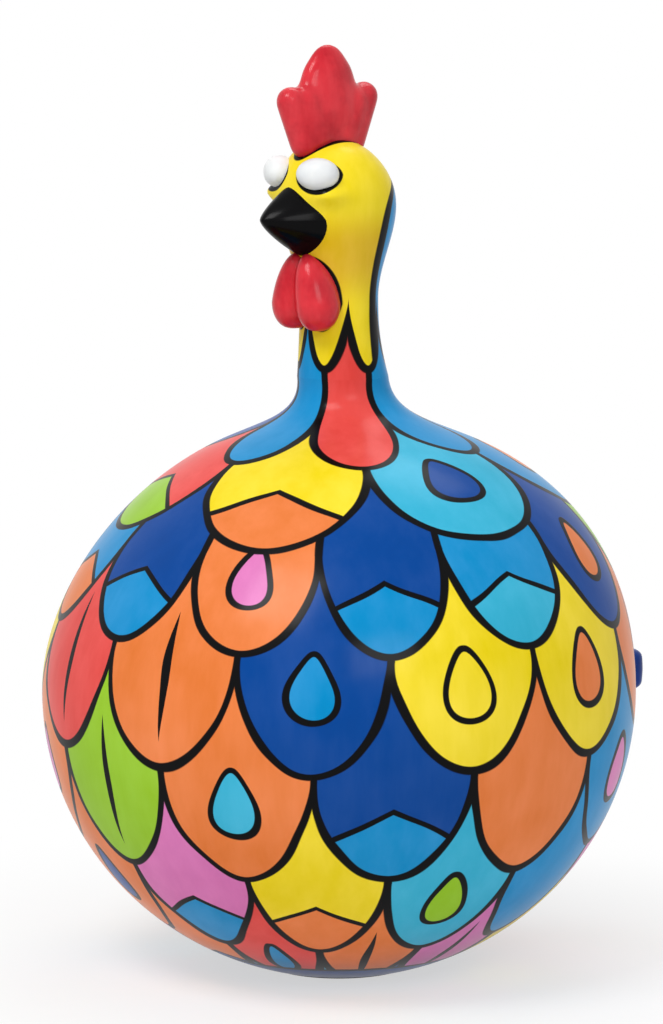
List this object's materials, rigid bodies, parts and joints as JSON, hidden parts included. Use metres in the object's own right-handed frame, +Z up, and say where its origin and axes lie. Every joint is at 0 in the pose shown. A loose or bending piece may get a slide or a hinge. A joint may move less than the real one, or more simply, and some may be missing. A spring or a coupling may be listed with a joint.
{
  "type": "rooster ornament",
  "caption": "Hollow cast rooster ornament with a ball body, long neck, lobed comb, bulging eyes, wattles and stub tail, hand-painted under gloss lacquer, with a pull-out rubber base stopper",
  "frame": {"origin": "Middle of the felt ring's underside, on the table, on the axis of the ball and neck", "axes": "+Z up along the neck, the beak points along -Y, the tail along +Y, and the bird's left side is +X"},
  "size_m": [0.19, 0.2185, 0.2951],
  "materials": {
    "painted_feathers": "gloss",
    "painted_head": "gloss",
    "red_paint": "gloss",
    "black_paint": "gloss",
    "white_paint": "gloss",
    "blue_paint": "gloss",
    "steel_pin": "satin",
    "stopper_rubber": "matte",
    "felt": "matte"
  },
  "bodies": {
    "rooster": {"body_lower_shell": "painted_feathers", "body_upper_shell": "painted_feathers", "head_and_neck": "painted_head", "comb": "red_paint", "left_wattle": "red_paint", "right_wattle": "red_paint", "upper_beak": "black_paint", "lower_beak": "black_paint", "left_eye": "white_paint", "right_eye": "white_paint", "tail": "blue_paint", "comb_pins": "steel_pin", "beak_pins": "steel_pin", "wattle_pins": "steel_pin", "tail_pins": "steel_pin", "felt_ring": "felt"},
    "stopper": {"base_stopper": "stopper_rubber"}
  },
  "joints": [
    {"name": "stopper_pull", "type": "slide", "parent": "rooster", "child": "stopper", "axis": [0, 0, -1], "range_m": [0, 0.03]}
  ]
}
